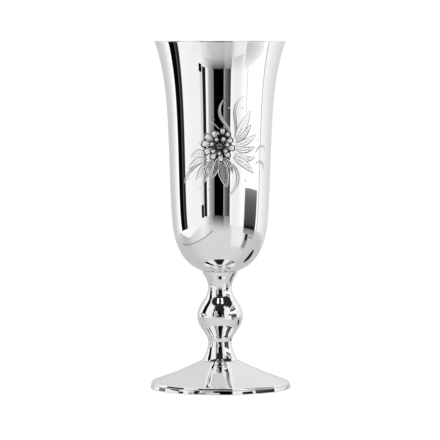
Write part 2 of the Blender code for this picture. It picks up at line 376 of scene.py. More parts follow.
def turned_metal(name, colour, worn, rough):
    """Lathe-turned or stamped fixing metal, with fine tool marks and stain."""
    material = bpy.data.materials.new(name)
    material.use_nodes = True
    n = Nodes(material.node_tree)
    place = n.new("ShaderNodeTexCoord").outputs["Object"]
    stain = n.noise(place, 420.0, 5.0, 0.6, 0.6)
    grain = n.noise(n.stretched(place, (900.0, 900.0, 9000.0)), 1.0, 2.0, 0.6)
    tint = n.ramp(stain, [(0.32, worn), (0.62, colour)])
    roughness = n.math(
        "ADD",
        n.span(stain, 0.3, 0.7, rough * 1.5, rough, "LINEAR"),
        n.span(grain, 0.4, 0.7, 0.0, 0.10, "LINEAR"),
    )
    bump = n.new("ShaderNodeBump")
    n.put(bump.inputs["Strength"], 0.25)
    n.put(bump.inputs["Distance"], 0.00002)
    n.put(bump.inputs["Height"], grain)
    shader = n.new("ShaderNodeBsdfPrincipled")
    n.put(shader.inputs["Base Color"], tint)
    n.put(shader.inputs["Metallic"], 1.0)
    n.put(shader.inputs["Roughness"], roughness)
    n.put(shader.inputs["Normal"], bump.outputs[0])
    n.put(n.new("ShaderNodeOutputMaterial").inputs["Surface"], shader.outputs[0])
    return material


SILVER = (0.945, 0.945, 0.942)
bowl_silver = silver("bowl_silver", SILVER, 0.007, groove=True)
stem_silver = silver("stem_silver", SILVER, 0.006)
foot_silver = silver("foot_silver", (0.94, 0.94, 0.938), 0.012)
brass = turned_metal("brass_fitting", (0.80, 0.62, 0.31), (0.58, 0.42, 0.20), 0.24)
steel = turned_metal("steel_fixing", (0.62, 0.62, 0.61), (0.42, 0.41, 0.40), 0.27)


# ================================================================ engraving
# A generic double blossom with leaves and tendrils, cut as V grooves in the
# unrolled wall of the bowl: s runs to the right round the bowl in
# millimetres at the reference radius, and z runs up.
REFERENCE_RADIUS = 21.8
PLATE_S = (-21.0, 28.0)
PLATE_Z = (79.0, 127.0)
PITCH = 0.04


class Plate:
    """What is cut into the wall: how deep, how blackened and how frosted."""

    def __init__(self):
        self.ns = int((PLATE_S[1] - PLATE_S[0]) / PITCH) + 1
        self.nz = int((PLATE_Z[1] - PLATE_Z[0]) / PITCH) + 1
        self.depth = np.zeros((self.nz, self.ns), np.float32)
        self.ink = np.zeros((self.nz, self.ns), np.float32)
        self.satin = np.zeros((self.nz, self.ns), np.float32)

    def window(self, points, margin):
        lo = np.min(points, axis=0) - margin
        hi = np.max(points, axis=0) + margin
        i0 = max(int((lo[0] - PLATE_S[0]) / PITCH), 0)
        i1 = min(int((hi[0] - PLATE_S[0]) / PITCH) + 2, self.ns)
        j0 = max(int((lo[1] - PLATE_Z[0]) / PITCH), 0)
        j1 = min(int((hi[1] - PLATE_Z[0]) / PITCH) + 2, self.nz)
        s = PLATE_S[0] + np.arange(i0, i1) * PITCH
        z = PLATE_Z[0] + np.arange(j0, j1) * PITCH
        return (slice(j0, j1), slice(i0, i1)), np.meshgrid(s, z)

    def stroke(self, points, widths, depth, ink=0.0):
        """A V groove along the points. widths is its half width at each."""
        points = np.asarray(points, float)
        widths = np.broadcast_to(np.asarray(widths, float), len(points))
        for a, b, wa, wb in zip(points[:-1], points[1:], widths[:-1], widths[1:]):
            reach = max(wa, wb) * 1.6 + PITCH
            where, (s, z) = self.window([a, b], reach)
            if s.size == 0:
                continue
            d = b - a
            length = max(float(d @ d), 1e-9)
            t = np.clip(((s - a[0]) * d[0] + (z - a[1]) * d[1]) / length, 0.0, 1.0)
            away = np.hypot(s - a[0] - t * d[0], z - a[1] - t * d[1])
            half = np.maximum(wa + (wb - wa) * t, 1e-3)
            x = away / half
            groove = np.where(x < 1.0, 1.0 - x, 0.0)
            lip = np.where((x >= 1.0) & (x < 1.6), -0.10 * np.sin((x - 1.0) / 0.6 * math.pi), 0.0)
            cut = depth * np.minimum(half / max(widths.max(), 1e-3), 1.0) * (groove + lip)
            old = self.depth[where]
            self.depth[where] = np.where(np.abs(cut) > np.abs(old), cut, old)
            if ink:
                self.ink[where] = np.maximum(
                    self.ink[where], ink * np.clip((1.12 - x) / 0.4, 0.0, 1.0)
                )

    def shine(self, points, half, satin):
        """A frosted line, with no depth of its own."""
        points = np.asarray(points, float)
        for a, b in zip(points[:-1], points[1:]):
            where, (s, z) = self.window([a, b], half * 1.2 + PITCH)
            if s.size == 0:
                continue
            d = b - a
            length = max(float(d @ d), 1e-9)
            t = np.clip(((s - a[0]) * d[0] + (z - a[1]) * d[1]) / length, 0.0, 1.0)
            x = np.hypot(s - a[0] - t * d[0], z - a[1] - t * d[1]) / half
            self.satin[where] = np.maximum(
                self.satin[where], satin * np.clip((1.15 - x) / 0.4, 0.0, 1.0)
            )

    def area(self, outline, satin, clear=True, ink=0.0):
        """Frosts a closed outline, first wiping what lay behind it. ink
        blackens all of it, as close stippling does."""
        outline = np.asarray(outline, float)
        where, (s, z) = self.window(outline, 0.1)
        inside = np.zeros(s.shape, bool)
        for (x0, y0), (x1, y1) in zip(outline, np.roll(outline, -1, axis=0)):
            if abs(y1 - y0) < 1e-9:
                continue
            crosses = ((z >= min(y0, y1)) & (z < max(y0, y1))) & (
                s < x0 + (z - y0) * (x1 - x0) / (y1 - y0)
            )
            inside ^= crosses
        if clear:
            self.depth[where] = np.where(inside, 0.0, self.depth[where])
            self.ink[where] = np.where(inside, ink, self.ink[where])
            self.satin[where] = np.where(inside, satin, self.satin[where])
        else:
            self.satin[where] = np.maximum(self.satin[where], inside * satin)


def curve(points, count=22):
    """A smooth open curve through two to six points."""
    points = np.array(points, float)
    if len(points) == 2:
        t = np.linspace(0, 1, count)[:, None]
        return points[0] * (1 - t) + points[1] * t
    return Spline(points).run(count)[0]


def taper(count, width, start=0.15, stop=0.1, belly=0.45):
    """Half widths that swell from a thin start to the belly and thin out."""
    t = np.linspace(0, 1, count)
    rise = np.clip(t / belly, 0, 1)
    fall = np.clip((1 - t) / (1 - belly), 0, 1)
    swell = np.minimum(rise, fall)
    ends = np.where(t < belly, start, stop)
    return width * (ends + (1 - ends) * np.sin(swell * math.pi / 2))


def leaf(plate, spine, width, veins=3, line=0.15, tone=0.12, depth=0.09, ink=0.55, fat=0.8,
         lit=0.5):
    """A pointed leaf on a curved spine: two edges, a midrib, and veins that
    slant from it. One half is lightly frosted. Where `lit`, a frosted line
    runs round the outside of its edges."""
    spine = curve(spine, 27)
    d = np.gradient(spine, axis=0)
    d /= np.linalg.norm(d, axis=1)[:, None]
    v = np.column_stack([-d[:, 1], d[:, 0]])
    t = np.linspace(0.0, 1.0, 27)
    swell = width * (np.sin(math.pi * t**fat) ** 0.8)
    left, right = spine + swell[:, None] * v, spine - swell[:, None] * v
    plate.area(np.vstack([left, right[::-1]]), 0.0)
    plate.area(np.vstack([spine, right[::-1]]), tone, clear=False)
    if lit:
        plate.shine(left, 0.20, lit)
        plate.shine(right, 0.20, lit)
        inset = np.maximum(swell - 0.34, 0.0)[:, None]
        left, right = spine + inset * v, spine - inset * v
    for k in range(veins):
        i = int((0.12 + 0.58 * (k + 0.5) / veins) * 26)
        j = min(i + 6, 26)
        for edge in (left, right):
            stop = spine[j] + (edge[j] - spine[j]) * 0.72
            middle = (spine[i] + stop) / 2 + (edge[i] - spine[i]) * 0.10
            plate.stroke(
                curve([spine[i], middle, stop], 8),
                taper(8, line * 0.6, 1.0, 0.1, 0.1), depth * 0.6, ink * 0.75,
            )
    plate.stroke(spine[:-3], taper(24, line * 0.8, 1.0, 0.15, 0.1), depth, ink * 0.9)
    plate.stroke(left, taper(27, line * 0.9, 0.55, 0.55), depth, ink)
    plate.stroke(right, taper(27, line * 1.25, 0.55, 0.55), depth * 1.15, min(ink * 1.35, 1.0))


def petal(plate, centre, azimuth, near, far, spread, squash=1.0, notch=0.10, lines=2,
          line=0.21, depth=0.10, tone=0.95, ink=1.0, reach_of_lines=0.5):
    """A round petal between two radii, frosted white, with a heavy outline, a
    soft notch and a few shading lines that run out of the heart."""
    centre = np.array(centre, float)

    def placed(radius, angle):
        return centre + np.column_stack(
            [np.atleast_1d(radius * np.cos(angle)), np.atleast_1d(radius * np.sin(angle)) * squash]
        )

    t = np.linspace(-1.0, 1.0, 35)
    reach = near + (far - near) * (1 - np.abs(t) ** 3.0) ** 0.5
    reach = reach - notch * (far - near) * np.exp(-((t / 0.2) ** 2))
    grow = np.clip((reach - near) / (far - near), 0, 1)
    edge = placed(reach, azimuth + spread * t * (0.66 + 0.34 * grow))
    plate.area(np.vstack([edge, placed(near * 0.82, azimuth + spread * np.linspace(0.7, -0.7, 5))]), tone)
    for k in range(lines):
        f = -0.72 + 1.44 * (k + 0.5) / lines
        long = reach_of_lines + 0.14 * math.cos(k * 2.2 + azimuth * 3.0)
        path = placed(
            np.linspace(near * 0.9, near + (far - near) * long, 7),
            azimuth + spread * np.linspace(f * 0.60, f * 0.84, 7),
        )
        plate.stroke(path, taper(7, line * 0.80, 1.0, 0.1, 0.05), depth * 0.75, ink * 0.95)
    plate.stroke(edge, taper(35, line, 0.6, 0.6, 0.5), depth, ink)


def tendril(plate, points, line=0.17, depth=0.09, twin=0.0, ink=0.5, lit=0.0):
    path = curve(points, 32)
    if twin:
        d = np.gradient(path, axis=0)
        d /= np.linalg.norm(d, axis=1)[:, None]
        across = np.column_stack([-d[:, 1], d[:, 0]])
        gap = (twin * np.sin(np.linspace(0, math.pi, 32)) ** 0.8)[:, None]
        plate.area(np.vstack([path, (path + across * gap)[::-1]]), 0.10)
        if lit:
            inset = np.minimum(np.abs(gap) * 0.5, 0.25) * np.sign(twin)
            plate.shine((path + across * inset)[2:-2], 0.15, lit)
            plate.shine((path + across * (gap - inset))[2:-2], 0.15, lit)
        plate.stroke(path + across * gap, taper(32, line * 0.9, 0.4, 0.12, 0.4), depth, ink * 1.3)
        plate.stroke(
            (path + across * gap * 0.5)[3:-9], taper(20, line * 0.5, 0.4, 0.12, 0.4), depth * 0.6,
            ink * 0.8,
        )
    elif lit:
        plate.shine(path, line * 1.1, lit)
    plate.stroke(path, taper(32, line, 0.6, 0.12, 0.3), depth, ink)


def dot(plate, at, size=0.22, depth=0.08, ink=0.6):
    at = np.array(at, float)
    plate.stroke([at - (size * 0.4, 0), at + (size * 0.4, 0.05)], size, depth, ink)


def oval(centre, across, high, turn=0.0, count=40):
    a = np.linspace(0, 2 * math.pi, count, endpoint=False)
    x, y = across * np.cos(a), high * np.sin(a)
    c, s = math.cos(turn), math.sin(turn)
    return np.array(centre, float) + np.column_stack([x * c - y * s, x * s + y * c])


def engrave():
    plate = Plate()
    c = np.array([-0.3, 104.3])
    # sprays that rise behind the blossom
    tendril(plate, [(4.6, 107.6), (3.4, 112.4), (0.6, 117.0), (0.5, 120.8), (2.2, 124.4)], 0.19,
            twin=1.05, ink=0.7, lit=0.95)
    tendril(plate, [(6.2, 107.6), (6.9, 113.0), (6.4, 118.4), (7.4, 122.4), (10.0, 125.2)], 0.18,
            twin=0.9, ink=0.65)
    tendril(plate, [(-0.6, 111.4), (-2.4, 113.2), (-3.8, 114.2)], 0.14, lit=0.9)
    leaf(plate, [(6.6, 106.9), (9.6, 112.0), (12.9, 118.6)], 1.75, 4, ink=0.50, lit=0.0)
    leaf(plate, [(6.8, 105.6), (10.6, 108.9), (13.6, 113.0)], 1.05, 3, ink=0.75, lit=0.0)
    leaf(plate, [(6.6, 104.2), (11.2, 105.6), (16.4, 108.6)], 1.25, 3, ink=0.45, lit=0.0)
    leaf(plate, [(6.9, 102.6), (11.2, 102.2), (15.8, 103.4)], 1.15, 3, ink=0.65, lit=0.0)
    leaf(plate, [(6.4, 100.8), (11.0, 98.6), (16.0, 98.9)], 1.20, 3, ink=0.45, lit=0.0)
    leaf(plate, [(5.8, 99.4), (10.6, 96.6), (15.6, 92.4)], 1.45, 4, ink=0.65, lit=0.0)
    tendril(plate, [(16.4, 101.0), (19.0, 103.8), (21.8, 103.9), (23.9, 100.6)], 0.16, twin=-0.7)
    tendril(plate, [(16.6, 96.2), (19.4, 97.6), (21.8, 96.0), (23.0, 92.4)], 0.16, twin=-0.7)
    # sprays on the left
    leaf(plate, [(-5.2, 100.2), (-9.2, 100.9), (-13.0, 99.2)], 1.35, 3, ink=0.40, lit=0.0)
    leaf(plate, [(-5.4, 98.6), (-9.8, 97.6), (-14.4, 94.4)], 1.25, 3, ink=0.45, lit=0.0)
    tendril(plate, [(-7.6, 97.0), (-12.0, 95.2), (-15.6, 91.8), (-17.6, 87.2)], 0.18, twin=1.0,
            ink=0.75)
    leaf(plate, [(-4.6, 97.4), (-7.6, 94.2), (-10.6, 89.8)], 1.15, 3, ink=0.50, lit=0.0)
    tendril(plate, [(-6.6, 102.8), (-8.2, 104.4), (-9.2, 106.0)], 0.14)
    # leaves that hang below
    leaf(plate, [(-3.2, 98.4), (-5.0, 94.0), (-7.2, 88.6)], 1.25, 2, ink=0.75, lit=0.7)
    tendril(plate, [(3.6, 97.6), (6.6, 93.6), (6.9, 88.4), (3.4, 82.9)], 0.19, twin=1.15, ink=0.65)
    leaf(plate, [(2.8, 98.4), (4.6, 95.8), (5.4, 92.6)], 0.95, 2, ink=0.9, lit=0.7)
    leaf(plate, [(-1.2, 98.6), (-1.6, 95.2), (-3.6, 90.4)], 1.05, 2, ink=0.85, lit=1.0)
    leaf(plate, [(0.6, 98.2), (1.4, 93.0), (3.0, 86.8)], 2.0, 5, line=0.19, tone=0.34,
         depth=0.10, ink=0.95, lit=1.0)
    # the bud that stands behind the blossom, seen from its side
    bud = c + (1.4, 3.0)
    plate.area(oval(bud + (0.1, 1.4), 2.5, 2.6), 0.0, ink=0.97)
    for turn, far in ((142, 3.7), (38, 3.7), (90, 4.2)):
        petal(plate, bud, math.radians(turn), 0.9, far, math.radians(25), 1.0, 0.10, 3, 0.20,
              reach_of_lines=0.66)
    # the blossom: two rings of petals round a ribbed heart
    plate.area(oval(c + (0.2, -0.4), 5.1, 5.1), 0.0, ink=0.97)
    for k, (turn, far) in enumerate(
        [(24, 5.9), (348, 6.5), (312, 6.2), (276, 6.7), (240, 6.4), (206, 6.9), (174, 7.4),
         (144, 7.3), (114, 6.4)]
    ):
        petal(plate, c, math.radians(turn), 2.4, far + 0.25, math.radians(16.0), 1.0,
              0.04 + 0.03 * (k % 2), 3, 0.23, reach_of_lines=0.70)
    for k, turn in enumerate((10, 62, 113, 166, 218, 269, 320)):
        petal(plate, c + (0.1, -0.3), math.radians(turn), 1.5, 4.3 + 0.25 * math.sin(k * 2.1),
              math.radians(20), 0.95, 0.02, 3, 0.25, reach_of_lines=0.66)
    heart = c + (0.1, -0.3)
    plate.area(oval(heart, 1.55, 1.4), 0.0, ink=0.97)
    for turn in range(0, 360, 45):
        petal(plate, heart, math.radians(turn + 12), 0.45, 1.35, math.radians(14), 0.92, 0.0, 0, 0.10)
    for at in ((-9.4, 102.6), (-3.4, 84.4), (-14.6, 90.0), (-8.8, 86.4), (9.4, 119.8),
               (-4.6, 85.8), (17.9, 106.2), (20.6, 92.6), (3.7, 120.0), (-12.8, 96.8),
               (11.4, 89.4), (-2.6, 115.0)):
        dot(plate, at)
    return plate


def sampled(field, s, z):
    """The field between its points, nought outside the plate."""
    x = (s - PLATE_S[0]) / PITCH
    y = (z - PLATE_Z[0]) / PITCH
    inside = (x >= 0) & (y >= 0) & (x < field.shape[1] - 1.001) & (y < field.shape[0] - 1.001)
    x, y = np.where(inside, x, 0.0), np.where(inside, y, 0.0)
    i, j = x.astype(int), y.astype(int)
    fx, fy = x - i, y - j
    value = (
        field[j, i] * (1 - fx) * (1 - fy)
        + field[j, i + 1] * fx * (1 - fy)
        + field[j + 1, i] * (1 - fx) * fy
        + field[j + 1, i + 1] * fx * fy
    )
    return np.where(inside, value, 0.0)


def softened(field, passes):
    for _ in range(passes):
        field = (
            np.pad(field, ((1, 1), (0, 0)), "edge")[:-2]
            + 2 * field
            + np.pad(field, ((1, 1), (0, 0)), "edge")[2:]
        ) / 4
        field = (
            np.pad(field, ((0, 0), (1, 1)), "edge")[:, :-2]
            + 2 * field
            + np.pad(field, ((0, 0), (1, 1)), "edge")[:, 2:]
        ) / 4
    return field


# ===================================================================== bowl
def build_bowl():
    wall = Spline(BOWL_STATIONS)
    plate = engrave()
    depth = softened(plate.depth, 1)
    satin = softened(plate.satin, 2)
    ink = softened(plate.ink, 1)
    slope_z, slope_s = np.gradient(softened(plate.depth, 2), PITCH)

    columns, rows, fine = 150, 104, 8
    step_a = 2 * math.pi / columns
    # Column 0 starts at the back, so the seam of the count is out of sight.
    lengths = np.linspace(0.0, wall.length, rows * fine + 1)
    points, tangents = wall.at(lengths)
    angles = math.pi / 2 + np.arange(columns * fine) * step_a / fine

    # s is measured from -Y, positive towards +X.
    def s_of(azimuth):
        turn = (azimuth + math.pi / 2 + math.pi) % (2 * math.pi) - math.pi
        return turn * REFERENCE_RADIUS

    flagged = np.zeros((rows, columns), bool)
    worked = softened(((np.abs(plate.depth) > 1e-4) | (plate.satin > 0.01)).astype(np.float32), 1)
    total = np.cumsum(np.cumsum(np.pad(worked, ((1, 0), (1, 0))), 0), 1)
    for j in range(columns):
        s0, s1 = s_of(angles[j * fine]), s_of(angles[j * fine] + step_a)
        if s1 < s0:
            continue
        for i in range(rows):
            z1, z0 = points[i * fine, 1], points[(i + 1) * fine, 1]
            if z1 < PLATE_Z[0] or z0 > PLATE_Z[1] or s1 < PLATE_S[0] or s0 > PLATE_S[1]:
                continue
            x0 = int(np.clip((s0 - 0.1 - PLATE_S[0]) / PITCH, 0, plate.ns - 1))
            x1 = int(np.clip((s1 + 0.1 - PLATE_S[0]) / PITCH + 1, 0, plate.ns))
            y0 = int(np.clip((z0 - 0.1 - PLATE_Z[0]) / PITCH, 0, plate.nz - 1))
            y1 = int(np.clip((z1 + 0.1 - PLATE_Z[0]) / PITCH + 1, 0, plate.nz))
            if total[y1, x1] - total[y0, x1] - total[y1, x0] + total[y0, x0] > 0:
                flagged[i, j] = True

    number = -np.ones((rows * fine + 1, columns * fine), int)
    order = []

    def vertex(i, j):
        j %= columns * fine
        if number[i, j] < 0:
            number[i, j] = len(order)
            order.append((i, j))
        return int(number[i, j])

    faces = []
    for i in range(rows):
        for j in range(columns):
            a, b = i * fine, j * fine
            if flagged[i, j]:
                for p in range(fine):
                    for q in range(fine):
                        faces.append(
                            [
                                vertex(a + p, b + q),
                                vertex(a + p + 1, b + q),
                                vertex(a + p + 1, b + q + 1),
                                vertex(a + p, b + q + 1),
                            ]
                        )
                continue
            left = fine > 1 and flagged[i, (j - 1) % columns]
            right = fine > 1 and flagged[i, (j + 1) % columns]
            above = i > 0 and flagged[i - 1, j]
            below = i < rows - 1 and flagged[i + 1, j]
            loop = []
            loop += [vertex(a + p, b) for p in (range(fine) if left else (0,))]
            loop += [vertex(a + fine, b + q) for q in (range(fine) if below else (0,))]
            loop += [vertex(a + fine - p, b + fine) for p in (range(fine) if right else (0,))]
            loop += [vertex(a, b + fine - q) for q in (range(fine) if above else (0,))]
            faces.append(loop)

    order = np.array(order)
    i, j = order.T
    r, z = points[i].T
    tr, tz = tangents[i].T
    a = angles[j]
    s = s_of(a)
    h = sampled(depth, s, z)
    gs, gz = sampled(slope_s, s, z), sampled(slope_z, s, z)
    # Outward normal of the plain wall in (r, z): the tangent runs down.
    nr, nz = -tz, tr
    rad, zed = r - h * nr, z - h * nz
    x, y = rad * np.cos(a), rad * np.sin(a)
    # The cut's slope tips the normal towards the lower side of the wall.
    n_vec = np.column_stack([nr * np.cos(a), nr * np.sin(a), nz])
    around = np.column_stack([-np.sin(a), np.cos(a), np.zeros_like(a)])
    down = np.column_stack([tr * np.cos(a), tr * np.sin(a), tz])
    scale = REFERENCE_RADIUS / r
    n_vec = n_vec + around * (gs * scale)[:, None] + (-down) * (gz * np.abs(tz))[:, None]
    n_vec /= np.linalg.norm(n_vec, axis=1)[:, None]
    verts = [np.column_stack([x, y, zed])]
    normals = [n_vec]
    cut_value = [np.clip(sampled(ink, s, z), 0, 1)]
    satin_value = [sampled(satin, s, z)]

    count = len(order)
    top_ring = [vertex(0, k * fine) for k in range(columns)]
    bottom_ring = [vertex(rows * fine, k * fine) for k in range(columns)]

    # Lip, lining and underside: plain rings on the coarse columns.
    coarse = angles[::fine]
    lip = 0.6
    lining_s = np.linspace(0.0, wall.length, 62)
    lp, lt = wall.at(lining_s)
    thick = SHEET + (lip - SHEET) * np.clip(1 - lining_s / 9.0, 0, 1) ** 1.5
    lining = inward(lp, lt, thick)
    floor_z = 49.8 + SHEET
    keep = (lining[:, 1] > floor_z + 0.12) & (lining[:, 0] > 4)
    lining, lt = lining[keep], lt[keep]
    out_n = np.array([-tangents[0, 1], tangents[0, 0]])
    in_first = lining[0].copy()
    mid = (points[0] + in_first) / 2
    rings = []  # (r, z, nr, nz)
    # rounded lip between the outer edge and the lining
    across = (in_first - points[0]) / 2
    for k in range(1, 12):
        t = math.pi * k / 12
        p = mid - across * math.cos(t)
        # Taller than it is deep, so its normals lie flatter than t.
        rings.append(
            (p[0], HEIGHT - LIP_RISE * (1 - math.sin(t)), LIP_RISE * math.cos(t), 0.3 * math.sin(t))
        )
    for p, t in zip(lining[1:], lt[1:]):
        rings.append((p[0], p[1], t[1], -t[0]))
    last = lining[-1]
    for k in range(1, 7):
        t = k / 6
        rings.append((last[0] * (1 - t) + 4.2 * t, last[1] + (floor_z - last[1]) * math.sin(t * math.pi / 2), 0.0, 1.0))
    extra_v, extra_n = [], []
    ring_ids = []
    for rr, zz, a0, a1 in rings:
        base = count + len(extra_v)
        ring_ids.append([base + k for k in range(columns)])
        for t in coarse:
            extra_v.append((rr * math.cos(t), rr * math.sin(t), zz))
            m = math.hypot(a0, a1) or 1.0
            extra_n.append((a0 / m * math.cos(t), a0 / m * math.sin(t), a1 / m))
    # outer rim ring drops a hair, so that the rounded lip is the highest point
    chain = [top_ring] + ring_ids
    for upper, lower in zip(chain[:-1], chain[1:]):
        for k in range(columns):
            n = (k + 1) % columns
            faces.append([upper[n], lower[n], lower[k], upper[k]])
    centre_in = count + len(extra_v)
    extra_v.append((0.0, 0.0, floor_z))
    extra_n.append((0.0, 0.0, 1.0))
    for k in range(columns):
        n = (k + 1) % columns
        faces.append([ring_ids[-1][n], centre_in, ring_ids[-1][k]])
    # underside, hidden by the collar
    under = []
    for rr, zz in ((6.4, 49.82), (3.0, 49.8)):
        base = count + len(extra_v)
        under.append([base + k for k in range(columns)])
        for t in coarse:
            extra_v.append((rr * math.cos(t), rr * math.sin(t), zz))
            extra_n.append((0.0, 0.0, -1.0))
    chain = [bottom_ring] + under
    for upper, lower in zip(chain[:-1], chain[1:]):
        for k in range(columns):
            n = (k + 1) % columns
            faces.append([upper[k], lower[k], lower[n], upper[n]])
    centre_out = count + len(extra_v)
    extra_v.append((0.0, 0.0, 49.8))
    extra_n.append((0.0, 0.0, -1.0))
    for k in range(columns):
        n = (k + 1) % columns
        faces.append([under[-1][k], centre_out, under[-1][n]])

    verts.append(np.array(extra_v))
    normals.append(np.array(extra_n))
    verts, normals = np.vstack(verts), np.vstack(normals)
    verts[:count, 2] = np.minimum(verts[:count, 2], HEIGHT - LIP_RISE)
    zeros = np.zeros(len(extra_v))
    cut = np.concatenate([cut_value[0], zeros])
    # The lining keeps the fine satin of its spinning, so that it stays light.
    zeros[12 * columns :] = 0.18
    tone = np.concatenate([satin_value[0], zeros])
    bowl = mesh_object("bowl_body", verts * MM, faces, bowl_silver, normals=normals)
    for name, values in (("cut", cut), ("satin", tone)):
        layer = bowl.data.attributes.new(name, "FLOAT", "POINT")
        layer.data.foreach_set("value", values.astype(np.float32))
    print("bowl faces", len(bowl.data.polygons), "fine cells", int(flagged.sum()))
    return bowl


bowl = build_bowl()
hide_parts("bowl")
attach(bowl, "root")


# ===================================================================== stem
STEM_COLUMNS = 192


def spline_part(stations, count):
    p, t = Spline(stations).run(count)
    return p, t


# The collar stands on the knop's neck and cups the underside of the bowl.
p, t = spline_part(COLLAR_STATIONS, 60)
inside = inward(p, t, SHEET)
inside = inside[(inside[:, 1] > 44.2) & (inside[:, 1] < 49.6)]
outline = (
    [(6.95, 49.86), (7.35, 49.96)]
    + [tuple(q) for q in p]
    + [(3.75, 42.36), (3.75, 40.4), (2.6, 40.4), (2.6, 43.1), (3.6, 43.8)]
    + [tuple(q) for q in inside[::-1]]
)
stem_collar = lathe("stem_collar_body", outline, STEM_COLUMNS, stem_silver)
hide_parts("stem_collar")

p, t = spline_part(KNOP_STATIONS, 150)
seam = 0.012
upper = p[p[:, 1] > KNOP_EQUATOR_Z + seam]
upper_t = t[p[:, 1] > KNOP_EQUATOR_Z + seam]
lower = p[p[:, 1] < KNOP_EQUATOR_Z - seam]
lower_t = t[p[:, 1] < KNOP_EQUATOR_Z - seam]
equator = float(np.interp(KNOP_EQUATOR_Z, p[::-1, 1], p[::-1, 0]))
inside = inward(upper, upper_t, SHEET)[::3]
inside = inside[(inside[:, 0] > 4.15) & (inside[:, 1] < 41.0) & (inside[:, 1] > KNOP_EQUATOR_Z + 0.2)]
outline = (
    [tuple(q) for q in upper]
    + [(equator, KNOP_EQUATOR_Z + seam), (equator - SHEET, KNOP_EQUATOR_Z + seam)]
    + [tuple(q) for q in inside[::-1]]
    + [(4.05, inside[0][1] + 0.4), (4.05, 42.33)]
)
knop_upper = lathe("knop_upper_body", outline, STEM_COLUMNS, stem_silver)
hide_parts("knop_upper_shell")

inside = inward(lower, lower_t, SHEET)[::3]
inside = inside[(inside[:, 0] > 4.15) & (inside[:, 1] > 21.4) & (inside[:, 1] < KNOP_EQUATOR_Z - 1.1)]
outline = (
    [(equator, KNOP_EQUATOR_Z - seam)]
    + [tuple(q) for q in lower]
    + [(4.05, 20.08), (4.05, inside[-1][1] - 0.4)]
    + [tuple(q) for q in inside[::-1]]
    + [(7.92, 30.0), (7.92, 32.0), (8.52, 32.0), (8.52, KNOP_EQUATOR_Z - seam)]
)
knop_lower = lathe("knop_lower_body", outline, STEM_COLUMNS, stem_silver)
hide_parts("knop_lower_shell")

p, t = spline_part(LOWER_STEM_STATIONS, 70)
inside = inward(p, t, SHEET)[::2]
inside = inside[(inside[:, 1] > 12.1) & (inside[:, 1] < 18.2)]
outline = (
    [(2.6, 22.0), (3.75, 22.0), (3.75, 20.06), (4.75, 20.06), (4.9, 20.05)]
    + [tuple(q) for q in p]
    + [(7.72, 11.80), (7.6, 11.75), (6.75, 11.75)]
    + [tuple(q) for q in inside[::-1]]
    + [(3.6, 18.6), (2.6, 19.3)]
)
lower_stem = lathe("lower_stem_body", outline, STEM_COLUMNS, stem_silver)
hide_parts("lower_stem")

for piece in (stem_collar, knop_upper, knop_lower, lower_stem):
    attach(piece, "root")


# ===================================================================== foot
FOOT_COLUMNS = 432
cone, cone_t = Spline(((8.1, 11.8), (18.2, 7.1), (29.35, 2.95))).run(44)
cone_in = inward(cone, cone_t, SHEET)[::2]
cone_in = cone_in[(cone_in[:, 0] > 8.8) & (cone_in[:, 0] < 27.8)]
edge = rounded(
    [(29.35, 2.95), (29.61, 2.66), (29.9, 2.10), (29.9, 1.98), (28.3, 1.98)],
    [0, 0.16, 0.08, 0, 0],
    6,
)
outline = (
    [(2.3, 11.45), (7.85, 11.45), (8.0, 11.5), (8.05, 11.7)]
    + [tuple(q) for q in cone]
    + edge[1:]
    + [tuple(q) for q in cone_in[::-1]]
    + [(7.4, 10.55), (2.3, 10.55)]
)
foot_dome = lathe("foot_dome_body", outline, FOOT_COLUMNS, foot_silver, draw_in(17.0, SIDE_DEPTH))
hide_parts("foot_dome")

outline = rounded(
    [(29.93, 1.93), (30.19, 0.30), (30.12, 0.0), (27.8, 0.0), (27.8, 1.93)],
    [0.30, 0.45, 0.06, 0.12, 0.12],
    7,
)
foot_rim = lathe("foot_rim_body", outline, FOOT_COLUMNS, foot_silver, draw_in(26.0, SIDE_DEPTH))
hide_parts("foot_rim")
for piece in (foot_dome, foot_rim):
    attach(piece, "root")


# ================================================================= fixings
def threaded_rod(name, radius, low, high, pitch, depth, columns=48, per_turn=12):
    """A rod with a rolled helical thread, run out at both chamfered ends."""
    rows = int((high - low) / pitch * per_turn)
    zs = np.linspace(low, high, rows + 1)
    angle = np.arange(columns) * 2 * math.pi / columns
    zz, aa = np.meshgrid(zs, angle, indexing="ij")
    phase = (zz / pitch - aa / (2 * math.pi)) % 1.0
    tooth = np.clip(np.abs(phase - 0.5) * 2.4 - 0.2, 0.0, 1.0)
    rr = radius - depth * tooth
    end = np.minimum(zz - low, high - zz)
    rr = np.minimum(rr, radius - 0.45 + end * 0.9)
    verts = np.column_stack([(rr * np.cos(aa)).ravel(), (rr * np.sin(aa)).ravel(), zz.ravel()])
    faces = []
    for i in range(rows):
        for k in range(columns):
            n = (k + 1) % columns
            faces.append([i * columns + k, i * columns + n, (i + 1) * columns + n, (i + 1) * columns + k])
    verts = np.vstack([verts, [[0, 0, low], [0, 0, high]]])
    bottom, top = len(verts) - 2, len(verts) - 1
    for k in range(columns):
        n = (k + 1) % columns
        faces.append([bottom, n, k])
        faces.append([top, rows * columns + k, rows * columns + n])
    return mesh_object(name, verts * MM, faces, brass, sharp=50.0)


tie_rod = threaded_rod("tie_rod_body", 2.0, 4.5, 48.6, 0.7, 0.38)
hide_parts("tie_rod")


